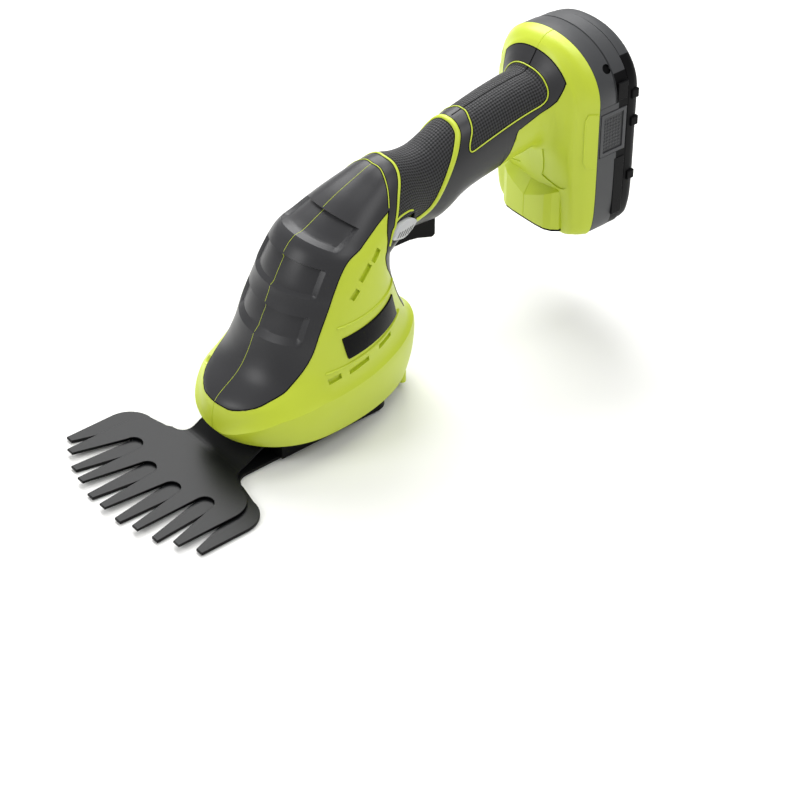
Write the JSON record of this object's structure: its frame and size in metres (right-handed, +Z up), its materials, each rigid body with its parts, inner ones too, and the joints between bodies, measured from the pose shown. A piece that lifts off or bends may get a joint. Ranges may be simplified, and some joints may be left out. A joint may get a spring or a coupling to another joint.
{
  "type": "cordless grass shears",
  "caption": "Hand-held cordless grass shears with a toothed scissor comb, a rounded motor housing, a soft grip with a trigger and a slide-off battery head.",
  "frame": {"origin": "on the flat sole of the lower blade, in the middle of the tool, under the front of the housing", "axes": "+X forward to the blade tips, +Y to the tool's left, +Z up from the sole"},
  "size_m": [0.331, 0.12, 0.1688],
  "materials": {
    "lime_shell": "moulded, lightly textured",
    "grip_skin": "soft overmould, matt",
    "dark_case": "moulded, finely textured",
    "black_case": "moulded, finely textured",
    "light_button": "moulded, satin",
    "latch_grey": "moulded, dotted",
    "coated_steel": "non-stick coating",
    "steel": "bright zinc",
    "motor_steel": "drawn",
    "cast_plate": "die cast",
    "bronze": "sintered",
    "brass": "stamped",
    "nylon": "moulded",
    "copper_rotor": "wound",
    "red_plastic": "moulded",
    "board_green": "lacquered",
    "cell_sleeve": "shrink film",
    "lead_red": "insulated wire"
  },
  "bodies": {
    "shell": {"housing_left": "lime_shell", "housing_right": "lime_shell", "overmould_left": "grip_skin", "overmould_right": "grip_skin", "head_band": "dark_case", "dock_plate": "black_case", "side_badges": "black_case", "housing_screws": "steel", "motor_can": "motor_steel", "motor_end_cap": "black_case", "motor_screws": "steel", "gear_plate": "cast_plate", "gear_cover": "cast_plate", "gear_screws": "steel", "shaft_bushes": "bronze", "trigger_pin": "steel", "trigger_spring": "steel", "lock_spring": "steel", "switch_body": "black_case", "control_board": "board_green", "leads": "lead_red", "terminal_block": "black_case", "dock_contacts": "brass"},
    "motor": {"motor_rotor": "copper_rotor", "motor_pinion": "brass"},
    "gear": {"drive_gear": "nylon", "output_shaft": "steel"},
    "cassette": {"lower_blade": "coated_steel", "cassette_base": "black_case", "cassette_cover": "black_case", "cassette_screws": "steel", "blade_pivot": "steel", "pivot_washer": "steel", "pivot_nut": "steel"},
    "crank": {"crank": "nylon"},
    "upper_blade": {"upper_blade": "coated_steel"},
    "trigger": {"trigger": "black_case"},
    "plunger": {"switch_plunger": "red_plastic"},
    "lock": {"lock_button": "light_button"},
    "battery": {"battery_case": "dark_case", "battery_cover": "black_case", "battery_stem": "black_case", "battery_cells": "cell_sleeve", "battery_contacts": "brass", "battery_screws": "steel", "latch_springs": "steel"},
    "latch_left": {"latch_left": "latch_grey"},
    "latch_right": {"latch_right": "latch_grey"}
  },
  "joints": [
    {"name": "motor_spin", "type": "hinge", "parent": "shell", "child": "motor", "pos_m": [-0.016, 0, 0.06], "axis": [0, 0, 1], "range_deg": [-360, 360]},
    {"name": "gear_spin", "type": "hinge", "parent": "shell", "child": "gear", "pos_m": [0.008, 0, 0.03], "axis": [0, 0, 1], "range_deg": [-90, 90]},
    {"name": "cassette_release", "type": "slide", "parent": "shell", "child": "cassette", "axis": [0, 0, -1], "range_m": [0, 0.03]},
    {"name": "crank_spin", "type": "hinge", "parent": "cassette", "child": "crank", "pos_m": [0.008, 0, 0.017], "axis": [0, 0, 1], "range_deg": [-90, 90]},
    {"name": "blade_swing", "type": "hinge", "parent": "cassette", "child": "upper_blade", "pos_m": [0.031, 0, 0.0115], "axis": [0, 0, 1], "range_deg": [-7.49, 7.49]},
    {"name": "trigger_pull", "type": "hinge", "parent": "shell", "child": "trigger", "pos_m": [-0.0524, 0, 0.09675], "axis": [0, 1, 0], "range_deg": [0, 8], "stiffness_Nm_per_rad": 0.2, "deforming": ["trigger_spring"]},
    {"name": "plunger_slide", "type": "slide", "parent": "shell", "child": "plunger", "axis": [0, 0, 1], "range_m": [0, 0.0037]},
    {"name": "lock_slide", "type": "slide", "parent": "shell", "child": "lock", "axis": [-1, 0, 0], "range_m": [0, 0.004], "stiffness_N_per_m": 200, "deforming": ["lock_spring"]},
    {"name": "battery_release", "type": "slide", "parent": "shell", "child": "battery", "axis": [-1, 0, 0], "range_m": [0, 0.062]},
    {"name": "latch_left_press", "type": "slide", "parent": "battery", "child": "latch_left", "axis": [0, -1, 0], "range_m": [0, 0.0025], "stiffness_N_per_m": 400, "deforming": ["latch_springs"]},
    {"name": "latch_right_press", "type": "slide", "parent": "battery", "child": "latch_right", "axis": [0, 1, 0], "range_m": [0, 0.0025], "stiffness_N_per_m": 400, "deforming": ["latch_springs"]}
  ],
  "couplings": [
    {"joint": "gear_spin", "follows": "motor_spin", "ratio": -0.25},
    {"joint": "crank_spin", "follows": "motor_spin", "ratio": -0.25},
    {"joint": "blade_swing", "follows": "motor_spin", "ratio": -0.020806},
    {"joint": "plunger_slide", "follows": "trigger_pull", "m_per_rad": 0.0264}
  ]
}
